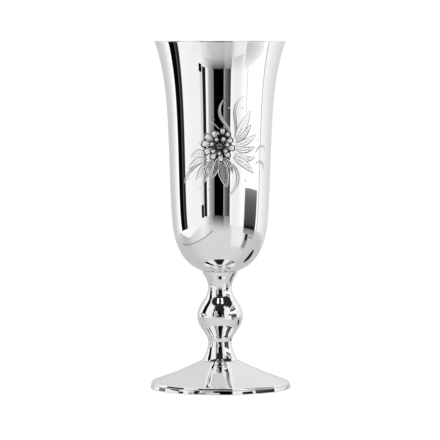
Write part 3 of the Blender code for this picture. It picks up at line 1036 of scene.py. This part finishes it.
def hex_nut(name, flats, low, high, bore):
    """A hexagon with its corners turned back at both ends, and a bored,
    chamfered hole."""
    columns = 96
    angle = np.arange(columns) * 2 * math.pi / columns
    apothem = flats / 2
    fold = (angle + math.pi / 6) % (math.pi / 3) - math.pi / 6
    hexagon = apothem / np.cos(fold)
    washer_face = apothem * 0.955
    profile = [
        (bore + 0.32, low),
        (washer_face, low),
        ("hex", low, 0.0),
        ("hex", low, 1.0),
        ("hex", high, 1.0),
        ("hex", high, 0.0),
        (washer_face, high),
        (bore + 0.32, high),
        (bore, high - 0.32),
        (bore, low + 0.32),
    ]
    rings = []
    verts = []
    for item in profile:
        base = len(verts)
        rings.append(base)
        if item[0] == "hex":
            _, z, full = item
            sign = 1.0 if z == low else -1.0
            # The turned chamfer is a cone, so it bites deepest at the corners.
            rise = (hexagon - washer_face) * math.tan(math.radians(30))
            radius = hexagon if full else np.full(columns, washer_face) + 0.02
            height = z + sign * (rise if full else 0.01)
            height = np.broadcast_to(height, columns)
        else:
            radius, height = np.full(columns, item[0]), np.full(columns, item[1])
        verts.extend(zip(radius * np.cos(angle), radius * np.sin(angle), height))
    faces = []
    for a, b in zip(rings, rings[1:] + rings[:1]):
        for k in range(columns):
            n = (k + 1) % columns
            faces.append([a + n, b + n, b + k, a + k])
    return mesh_object(name, np.array(verts) * MM, [f[::-1] for f in faces], brass, sharp=25.0)


foot_nut = hex_nut("foot_nut_body", 7.0, 5.2, 8.1, 2.05)
foot_nut.data.update()
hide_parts("foot_nut")

outline = rounded(
    [(6.8, 10.5), (6.8, 9.6), (2.3, 9.6), (2.3, 10.5)],
    [0.12, 0.16, 0.10, 0.10],
    4,
)
outline = rounded([(6.8, 10.2), (6.8, 9.6), (2.3, 9.6), (2.3, 10.2)], [0.1, 0.16, 0.1, 0.1], 4)
foot_washer = lathe("foot_washer_body", outline, 128, steel)
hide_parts("foot_washer")


def split_washer(name, inner, outer, low, high, gap, rise):
    """A sprung ring with a slanting split, its two ends a little apart."""
    columns = 110
    half = gap / (inner + outer)
    angle = np.linspace(half, 2 * math.pi - half, columns)
    lift = (angle / (2 * math.pi) - 0.5) * rise
    section = rounded([(outer, high), (outer, low), (inner, low), (inner, high)], [0.08] * 4, 2)
    rings = []
    verts = []
    for r, z in section:
        rings.append(len(verts))
        slant = (z - (low + high) / 2) * 0.4 / r
        near_end = np.clip(1 - np.minimum(angle - half, 2 * math.pi - half - angle) / 0.3, 0, 1)
        a = angle + slant * near_end
        verts.extend(zip(r * np.cos(a), r * np.sin(a), z + lift))
    faces = []
    m = len(section)
    for i in range(m):
        a, b = rings[i], rings[(i + 1) % m]
        for k in range(columns - 1):
            faces.append([a + k, b + k, b + k + 1, a + k + 1])
    faces.append([rings[i] for i in range(m)])
    faces.append([rings[i] + columns - 1 for i in range(m)][::-1])
    return mesh_object(name, np.array(verts) * MM, faces, steel, sharp=40.0)


lock_washer = split_washer("lock_washer_body", 2.3, 3.7, 8.45, 9.25, 0.8, 0.16)
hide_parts("lock_washer")

outline = [
    (0.0, 49.78),
    (5.35, 49.78),
    (5.5, 49.6),
    (5.5, 48.7),
    (4.45, 46.5),
    (4.15, 46.2),
    (2.45, 46.2),
    (2.1, 46.5),
    (2.1, 48.5),
    (0.0, 48.9),
]
bowl_boss = lathe("bowl_boss_body", outline, 96, brass)
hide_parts("bowl_boss")

for piece in (tie_rod, foot_nut, bowl_boss):
    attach(piece, "root")
for piece in (foot_washer, lock_washer):
    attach(piece, "root")


# ==================================================================== floor
FLOOR_RADIUS = 0.2815
SKIRT_TOP = 0.0235


def unlit(n, value):
    """An emission shader of a grey that is a number or a socket."""
    shine = n.new("ShaderNodeEmission")
    if isinstance(value, bpy.types.NodeSocket):
        colour = n.new("ShaderNodeCombineColor")
        for socket in colour.inputs:
            n.put(socket, value)
        n.put(shine.inputs["Color"], colour.outputs[0])
    else:
        n.put(shine.inputs["Color"], (value, value, value, 1.0))
    return shine.outputs[0]


def blended(n, factor, a, b):
    node = n.new("ShaderNodeMix", data_type="FLOAT")
    n.put(node.inputs[0], factor)
    n.put(node.inputs[2], a)
    n.put(node.inputs[3], b)
    return node.outputs[0]


def bearing(n, x, y):
    """Degrees round from the front (-Y), growing to the right."""
    return n.math(
        "MULTIPLY", n.math("ARCTAN2", x, n.math("MULTIPLY", y, -1.0)), 180 / math.pi
    )


def at(degrees):
    return (degrees + 180.0) / 360.0


def build_floor():
    """A round pale table. The polished plate sees it unlit, as painted light and shade: even close in, and taking on
    painted light from the panels and painted shade from the gaps between them towards its edge."""
    material = bpy.data.materials.new("pale_floor")
    material.use_nodes = True
    n = Nodes(material.node_tree)
    split = n.new("ShaderNodeSeparateXYZ")
    n.put(split.inputs[0], n.new("ShaderNodeTexCoord").outputs["Object"])
    x, y = split.outputs[0], split.outputs[1]
    away = n.math("SQRT", n.math("MULTIPLY_ADD", x, x, n.math("MULTIPLY", y, y)))
    azimuth = bearing(n, x, y)
    turn = n.math("MULTIPLY_ADD", azimuth, 1 / 360.0, 0.5)
    # painted light and shade by bearing out towards the edge: brighter where the panels light the table, darker in
    # front of the gaps
    far = n.ramp(
        turn,
        [
            (at(-180), grey(0.62)),
            (at(-128), grey(0.66)),
            (at(-112), grey(0.62)),
            (at(-104), grey(0.50)),
            (at(-92), grey(0.52)),
            (at(-86), grey(0.57)),
            (at(-70), grey(0.72)),
            (at(-52), grey(0.77)),
            (at(-41), grey(0.88)),
            (at(-35), grey(0.84)),
            (at(-28), grey(0.76)),
            (at(-22), grey(0.66)),
            (at(-14), grey(0.52)),
            (at(8), grey(0.40)),
            (at(10), grey(0.49)),
            (at(22), grey(0.47)),
            (at(26), grey(0.78)),
            (at(33), grey(0.88)),
            (at(58), grey(0.89)),
            (at(66), grey(0.74)),
            (at(104), grey(0.70)),
            (at(180), grey(0.64)),
        ],
    )
    # painted even tone close in; on the right the painted far tone reaches in nearer the cup
    side_on = n.span(n.math("ABSOLUTE", azimuth), 40.0, 105.0, 0.70, 0.57)
    tongue = n.math(
        "MULTIPLY", n.span(azimuth, 23.0, 29.0), n.span(azimuth, 56.0, 66.0, 1.0, 0.0)
    )
    reach = blended(n, tongue, n.span(away, 0.185, 0.300), n.span(away, 0.078, 0.104))
    # painted light and shade: on the left the far tone reaches in, up to a nearly straight edge
    along = n.math("ADD", n.math("MULTIPLY", x, 0.295), n.math("MULTIPLY", y, -0.9555))
    bow = n.math("MULTIPLY_ADD", along, 1 / 0.11, -0.06 / 0.11)
    bow = n.math("MAXIMUM", n.math("MULTIPLY_ADD", bow, n.math("MULTIPLY", bow, -1.0), 1.0), 0.0)
    off = n.math(
        "ADD", n.math("MULTIPLY", x, -0.9555), n.math("MULTIPLY_ADD", y, -0.295, -0.1196)
    )
    off = n.math("MULTIPLY_ADD", bow, -0.0062, off)
    far_tone_patch = n.math("MULTIPLY", n.span(off, -0.004, 0.004), n.span(along, -0.135, -0.115))
    far_tone_patch = n.math("MULTIPLY", far_tone_patch, n.span(azimuth, -20.0, -14.0, 1.0, 0.0))
    tone = blended(n, n.math("MAXIMUM", reach, far_tone_patch), side_on, far)
    # painted light: a pale band out towards the edge on the left
    rim = n.math("MULTIPLY", n.span(away, 0.225, 0.262), n.span(azimuth, -34.0, -39.0))
    rim = n.math("MULTIPLY", rim, n.span(azimuth, -85.0, -78.0))
    tone = blended(n, rim, tone, 0.90)
    # painted light: a white patch at the foot of the white panel beyond it
    inner = n.math(
        "ADD", n.math("MULTIPLY", x, -0.943), n.math("MULTIPLY", y, 0.333)
    )
    outer = n.math(
        "ADD", n.math("MULTIPLY", x, -0.839), n.math("MULTIPLY", y, -0.545)
    )
    panel = n.math("MULTIPLY", n.span(inner, 0.1515, 0.1550), n.span(outer, 0.1575, 0.1610))
    tone = blended(n, panel, tone, 0.99)
    # painted shade: a dark line along the straight edge of the left patch
    line = n.span(n.math("DIVIDE", n.math("ABSOLUTE", off), away), 0.012, 0.046, 0.52, 0.0)
    line = n.math("MULTIPLY", line, n.span(along, 0.164, 0.182, 1.0, 0.0))
    line = n.math("MULTIPLY", line, n.span(along, -0.122, -0.112))
    tone = n.math("MULTIPLY", tone, n.math("SUBTRACT", 1.0, line))
    # the foot of the dark block on the right: painted shade under it, its pale step, a painted shadow line round that,
    # and a painted shadow that runs in towards the cup
    block = n.math("MULTIPLY", n.span(azimuth, 67.0, 69.5), n.span(azimuth, 87.0, 91.0, 1.0, 0.0))
    tone = blended(n, n.math("MULTIPLY", block, n.span(away, 0.176, 0.181)), tone, 0.50)
    block_shadow_line = n.span(n.math("ABSOLUTE", n.math("ADD", away, -0.1735)), 0.0015, 0.0045, 0.93, 0.0)
    tone = n.math("MULTIPLY", tone, n.math("SUBTRACT", 1.0, n.math("MULTIPLY", block_shadow_line, block)))
    # the painted shadow running in towards the cup, darker and narrower outwards
    centre = n.span(away, 0.095, 0.145, 65.0, 68.2, "LINEAR")
    half = n.span(away, 0.095, 0.170, 10.5, 6.4, "LINEAR")
    seam = n.span(
        n.math("DIVIDE", n.math("ABSOLUTE", n.math("SUBTRACT", azimuth, centre)), half),
        0.25, 1.0, 1.0, 0.0,
    )
    seam = n.math(
        "MULTIPLY",
        seam,
        n.math("ADD", n.span(away, 0.080, 0.102, 0.0, 0.60), n.span(away, 0.132, 0.150, 0.0, 0.40)),
    )
    tone = n.math("MULTIPLY", tone, n.math("SUBTRACT", 1.0, seam))
    # painted shade: a small dark oval patch behind, on the right
    bx = n.math("ADD", n.math("MULTIPLY", x, 0.96), n.math("MULTIPLY_ADD", y, 0.27, -0.0846))
    by = n.math("ADD", n.math("MULTIPLY", x, -0.27), n.math("MULTIPLY_ADD", y, 0.96, -0.0135))
    bx, by = n.math("MULTIPLY", bx, 1 / 0.034), n.math("MULTIPLY", by, 1 / 0.0135)
    dark_oval = n.math("SQRT", n.math("MULTIPLY_ADD", bx, bx, n.math("MULTIPLY", by, by)))
    tone = n.math("MULTIPLY", tone, n.span(dark_oval, 0.84, 1.08, 0.02, 1.0))

    seen = n.new("ShaderNodeBsdfDiffuse")
    n.put(seen.inputs["Color"], (0.80, 0.80, 0.80, 1.0))
    both = n.new("ShaderNodeAddShader")
    n.put(both.inputs[0], seen.outputs[0])
    n.put(both.inputs[1], unlit(n, 0.50))
    path = n.new("ShaderNodeLightPath")
    mix = n.new("ShaderNodeMixShader")
    n.put(mix.inputs[0], path.outputs["Is Camera Ray"])
    n.put(mix.inputs[1], unlit(n, tone))
    n.put(mix.inputs[2], both.outputs[0])
    n.put(n.new("ShaderNodeOutputMaterial").inputs["Surface"], mix.outputs[0])
    columns = 96
    verts = [(0.0, 0.0, 0.0)] + [
        (
            FLOOR_RADIUS * math.cos(k * 2 * math.pi / columns),
            FLOOR_RADIUS * math.sin(k * 2 * math.pi / columns),
            0.0,
        )
        for k in range(columns)
    ]
    faces = [[0, 1 + k, 1 + (k + 1) % columns] for k in range(columns)]
    floor = mesh_object("floor", verts, faces, material)


build_floor()


def studio_card(name, bearings, distance, low, high, stops):
    """A flag that only reflections see, facing the cup on an arc round it.
    stops grade its brightness from its bottom, 0, to its top, 1."""
    material = bpy.data.materials.new(name)
    material.use_nodes = True
    n = Nodes(material.node_tree)
    split = n.new("ShaderNodeSeparateXYZ")
    n.put(split.inputs[0], n.new("ShaderNodeTexCoord").outputs["Object"])
    up = n.span(split.outputs[2], low, high, 0.0, 1.0, "LINEAR")
    shine = n.new("ShaderNodeEmission")
    n.put(shine.inputs["Color"], n.ramp(up, [(p, grey(v)) for p, v in stops]))
    n.put(n.new("ShaderNodeOutputMaterial").inputs["Surface"], shine.outputs[0])
    turns = np.radians(np.linspace(bearings[0], bearings[1], 13))
    verts = []
    for t in turns:
        for z in (low, high):
            verts.append((distance * math.sin(t), -distance * math.cos(t), z))
    faces = [[2 * k, 2 * k + 2, 2 * k + 3, 2 * k + 1] for k in range(len(turns) - 1)]
    card = mesh_object(name, verts, faces, material)
    card.visible_camera = False
    card.visible_diffuse = False
    card.visible_shadow = False


studio_card(
    "card_right", (57.2, 91.5), 0.200, 0.0, 0.0665,
    [(0.0, 0.40), (0.10, 0.31), (0.20, 0.24), (0.262, 0.19), (0.285, 0.003), (0.315, 0.006),
     (0.37, 0.016), (0.41, 0.033), (0.46, 0.047), (0.51, 0.060), (0.72, 0.092), (0.86, 0.125),
     (0.97, 0.21), (1.0, 0.30)],
)
studio_card("card_hook", (-42.3, -36.6), 0.268, 0.0246, 0.0412, [(0.0, 0.004), (1.0, 0.004)])


def build_skirt():
    """A low unlit board round the front of the table, that only reflections see. Painted shade darkens it upwards in
    front of the dark gap, and painted light makes it white beside the panels."""
    material = bpy.data.materials.new("skirt")
    material.use_nodes = True
    n = Nodes(material.node_tree)
    split = n.new("ShaderNodeSeparateXYZ")
    n.put(split.inputs[0], n.new("ShaderNodeTexCoord").outputs["Object"])
    turn = n.math("MULTIPLY_ADD", bearing(n, split.outputs[0], split.outputs[1]), 1 / 360.0, 0.5)
    # painted light and shade by bearing: the grey at the bottom and at the top of the board
    levels = (
        (-46, 0.93, 0.93), (-37, 0.93, 0.93), (-33, 0.82, 0.82), (-29, 0.70, 0.78),
        (-24.5, 0.60, 0.52), (-20, 0.54, 0.38), (-14, 0.51, 0.11), (8, 0.39, 0.04),
        (9.5, 0.50, 0.30), (20, 0.46, 0.28), (22.8, 0.40, 0.25),
    )
    low = n.ramp(turn, [(at(a), grey(v)) for a, v, _ in levels])
    high = n.ramp(turn, [(at(a), grey(v)) for a, _, v in levels])
    up = n.span(split.outputs[2], 0.0, SKIRT_TOP, 0.0, 1.0, "LINEAR")
    n.put(
        n.new("ShaderNodeOutputMaterial").inputs["Surface"], unlit(n, blended(n, up, low, high))
    )
    turns = np.radians(np.linspace(-46.0, 22.8, 25))
    verts = []
    for t in turns:
        for z in (0.0, SKIRT_TOP):
            verts.append((FLOOR_RADIUS * math.sin(t), -FLOOR_RADIUS * math.cos(t), z))
    faces = [[2 * k, 2 * k + 2, 2 * k + 3, 2 * k + 1] for k in range(len(turns) - 1)]
    return mesh_object("skirt", verts, faces, material)


def build_ledge():
    """The pale top of the dark block on the right, which is open below."""
    material = bpy.data.materials.new("ledge")
    material.use_nodes = True
    n = Nodes(material.node_tree)
    split = n.new("ShaderNodeSeparateXYZ")
    n.put(split.inputs[0], n.new("ShaderNodeTexCoord").outputs["Object"])
    x, y = split.outputs[0], split.outputs[1]
    away = n.math("SQRT", n.math("MULTIPLY_ADD", x, x, n.math("MULTIPLY", y, y)))
    mix = n.new("ShaderNodeMixShader")
    n.put(mix.inputs[0], n.new("ShaderNodeNewGeometry").outputs["Backfacing"])
    n.put(mix.inputs[1], unlit(n, n.span(away, 0.150, 0.198, 0.56, 0.92, "LINEAR")))
    n.put(mix.inputs[2], n.new("ShaderNodeBsdfTransparent").outputs[0])
    n.put(n.new("ShaderNodeOutputMaterial").inputs["Surface"], mix.outputs[0])
    turns = np.radians(np.linspace(48.0, 96.0, 25))
    verts = []
    for t in turns:
        for r in (0.140, 0.2002):
            verts.append((r * math.sin(t), -r * math.cos(t), 0.0668 + (0.2002 - r) * 0.1085))
    faces = [[2 * k, 2 * k + 1, 2 * k + 3, 2 * k + 2] for k in range(len(turns) - 1)]
    return mesh_object("ledge", verts, faces, material)


for card in (build_skirt(), build_ledge()):
    card.visible_camera = False
    card.visible_diffuse = False
    card.visible_shadow = False


# ==================================================================== world
def build_world():
    """A white studio: pale panels, dark gaps between them, a dim ceiling in
    front and a soft light overhead. Azimuth is 0 in front of the cup (-Y) and
    grows to its right; elevation is above the horizon. Both are in degrees."""
    world = bpy.data.worlds.new("studio")
    bpy.context.scene.world = world
    world.use_nodes = True
    n = Nodes(world.node_tree)
    unit = n.new("ShaderNodeVectorMath", operation="NORMALIZE")
    n.put(unit.inputs[0], n.new("ShaderNodeTexCoord").outputs["Generated"])
    split = n.new("ShaderNodeSeparateXYZ")
    n.put(split.inputs[0], unit.outputs[0])
    x, y, z = split.outputs
    azimuth = bearing(n, x, y)
    height = n.math("MULTIPLY", n.math("ARCSINE", z), 180 / math.pi)
    level = n.ramp(
        n.math("MULTIPLY_ADD", azimuth, 1 / 360.0, 0.5),
        [
            (at(-180), grey(0.66)),
            (at(-150), grey(0.61)),
            (at(-134), grey(0.67)),
            (at(-124), grey(0.82)),
            (at(-118), grey(0.95)),
            (at(-112), grey(1.10)),
            (at(-84), grey(0.97)),
            (at(-60), grey(0.93)),
            (at(-44), grey(0.93)),
            (at(-40), grey(0.66)),
            (at(-29.0), grey(1.05)),
            (at(-26.6), grey(1.0)),
            (at(-24.8), grey(0.52)),
            (at(-20), grey(0.31)),
            (at(-13.8), grey(0.22)),
            (at(8.0), grey(0.42)),
            (at(9.4), grey(0.36)),
            (at(10.6), grey(0.19)),
            (at(14), grey(0.12)),
            (at(18), grey(0.075)),
            (at(21.5), grey(0.045)),
            (at(23.2), grey(1.08)),
            (at(26), grey(0.98)),
            (at(30), grey(0.90)),
            (at(42), grey(0.90)),
            (at(52), grey(1.06)),
            (at(96), grey(1.10)),
            (at(106), grey(0.98)),
            (at(124), grey(0.84)),
            (at(146), grey(0.70)),
            (at(180), grey(0.66)),
        ],
    )

    def over(base, value, t0, t1, e0, e1, st=0.5, se=1.0, lean=0.0):
        """Paints `value` between two azimuths and two elevations. lean is how
        far the azimuths shift for each degree up."""
        turned = n.math("MULTIPLY_ADD", height, -lean, azimuth) if lean else azimuth
        mask = None
        for signal, low, high, soft in ((turned, t0, t1, st), (height, e0, e1, se)):
            for edge_at, rising in ((low, True), (high, False)):
                if edge_at is None:
                    continue
                m = n.span(
                    signal, edge_at - soft, edge_at + soft, *((0.0, 1.0) if rising else (1.0, 0.0))
                )
                mask = m if mask is None else n.math("MULTIPLY", mask, m)
        return blended(n, mask, base, value)

    # the wall behind, brighter higher up
    lift = n.math("MULTIPLY", n.span(height, 2.0, 24.0), n.span(n.math("ABSOLUTE", azimuth), 106.0, 124.0))
    level = n.math("MULTIPLY", level, n.math("MULTIPLY_ADD", lift, 0.13, 1.0))
    level = n.math("MULTIPLY", level, n.span(azimuth, 100.0, 170.0, 1.0, 1.06))
    # gaps between the panels
    level = over(level, 0.002, -109.0, -94.6, None, 0.5, 0.6, 1.0)
    level = over(level, 0.026, -94.6, -86.4, None, 0.5, 0.6, 1.0)
    level = over(level, 0.006, -106.5, -80.5, 0.5, 47, 1.0, 1.0, -0.05)
    level = over(level, 0.012, -37.2, -30.2, None, 50, 0.5, 1.5)
    level = over(level, 0.50, -27.5, -13.4, 4.0, 32.0, 2.0, 3.0)
    level = over(level, 0.0005, -13.4, 8.0, None, None, 0.4, 2.0)
    level = over(level, 0.010, 20.8, 22.6, None, None, 0.3, 2.0)
    level = over(level, 0.020, 8.0, 23.0, 4.0, None, 0.6, 3.0)
    level = over(level, 0.50, 12.5, 16.5, 3.0, 13.0, 1.0, 1.5)
    level = over(level, 0.58, 58.6, 59.8, None, -7.5, 0.5, 1.0)
    level = over(level, 0.40, 101.3, 103.4, None, 60, 0.6, 2.0)
    # the foot of the panel right of the middle
    dip = n.math("MULTIPLY", n.span(azimuth, 22.6, 23.4), n.span(azimuth, 46.0, 56.0, 1.0, 0.0))
    low = n.span(height, -29.0, -19.0, 0.26, 0.0)
    level = n.math("MULTIPLY", level, n.math("SUBTRACT", 1.0, n.math("MULTIPLY", dip, low)))
    # what stands above the right panel
    level = over(level, 0.012, 58.0, 100.0, 24.5, 30.0, 1.5, 1.0)
    level = over(level, 0.36, 60.0, 100.0, 30.0, 36.5, 1.5, 1.2)
    level = over(level, 0.020, 58.0, 104.0, 38.5, 60.0, 3.0, 2.0)
    level = over(level, 0.020, 42.0, 62.0, 45.0, 60.0, 4.0, 3.0)
    # what the foot's upright band sees, low down
    for value, t0, t1, e0, e1 in (
        (0.62, -22.5, -6.5, 8.5, 13.5),
        (0.30, -32.0, -22.5, 8.5, 13.5),
        (0.20, -39.8, -38.8, 8.5, 13.5),
        (0.20, -42.6, -41.4, 8.5, 13.5),
        (0.010, 44.5, 58.0, 4.5, 13.5),
        (0.85, 58.0, 66.0, 4.5, 13.5),
        (0.025, 66.0, 78.0, 4.0, 13.0),
        (0.85, 78.0, 92.0, 3.0, 12.0),
        (0.20, -115.0, -103.0, 1.0, 9.0),
        (0.88, -103.0, -81.5, 1.0, 9.0),
        (0.03, -80.5, -73.5, 1.0, 10.0),
    ):
        level = over(level, value, t0, t1, e0, e1, 0.4, 0.6)
    # the dim ceiling in front
    level = over(level, 0.018, -30.0, 27.0, 33.0, None, 2.0, 2.0)
    level = over(level, 0.024, -96.0, 100.0, 50.0, 66.0, 6.0, 1.6)
    level = over(level, 1.3, -30.0, -11.0, 58.6, 62.6, 1.0, 0.6)
    level = over(level, 1.3, 12.0, 33.0, 58.0, 62.2, 1.0, 0.6)
    # overhead light
    level = blended(n, n.span(height, 68.0, 74.0), level, 0.95)

    path = n.new("ShaderNodeLightPath")
    shown = blended(n, path.outputs["Is Camera Ray"], level, 1.05)
    background = n.new("ShaderNodeBackground")
    colour = n.new("ShaderNodeCombineColor")
    for socket in colour.inputs:
        n.put(socket, shown)
    n.put(background.inputs["Color"], colour.outputs[0])
    n.put(n.new("ShaderNodeOutputWorld").inputs["Surface"], background.outputs[0])


build_world()

scene = bpy.context.scene
scene.view_settings.view_transform = "Standard"
scene.view_settings.look = "None"
scene.view_settings.exposure = 0.0
scene.view_settings.gamma = 1.0
# Light that enters the cup leaves it after many turns on the polished lining.
scene.cycles.glossy_bounces = 12

# ==================================================================== light
# A large soft box to the front. The polished plate takes its look from the
# studio round it, so this only lights what is frosted, and the table.
box = bpy.data.lights.new("soft_box", "AREA")
box.shape = "SQUARE"
box.size = 0.7
box.energy = 4.6
box.color = (1.0, 1.0, 1.0)
soft_box = bpy.data.objects.new("soft_box", box)
scene.collection.objects.link(soft_box)
soft_box.location = (-0.28, -0.80, 0.62)
soft_box.rotation_euler = (
    (Vector((0.0, 0.0, 0.09)) - soft_box.location).to_track_quat("-Z", "Y").to_euler()
)
soft_box.visible_glossy = False

# =================================================================== camera
lens = bpy.data.cameras.new("camera")
lens.lens = 253.83
lens.sensor_width = 36.0
lens.clip_start = 0.05
lens.clip_end = 20.0
camera = bpy.data.objects.new("camera", lens)
scene.collection.objects.link(camera)
camera.location = (0.0, -1.32, 0.150)
aim = Vector((0.0, 0.0, 0.07175)) - camera.location
camera.rotation_euler = aim.to_track_quat("-Z", "Y").to_euler()
scene.camera = camera

bpy.context.view_layer.update()
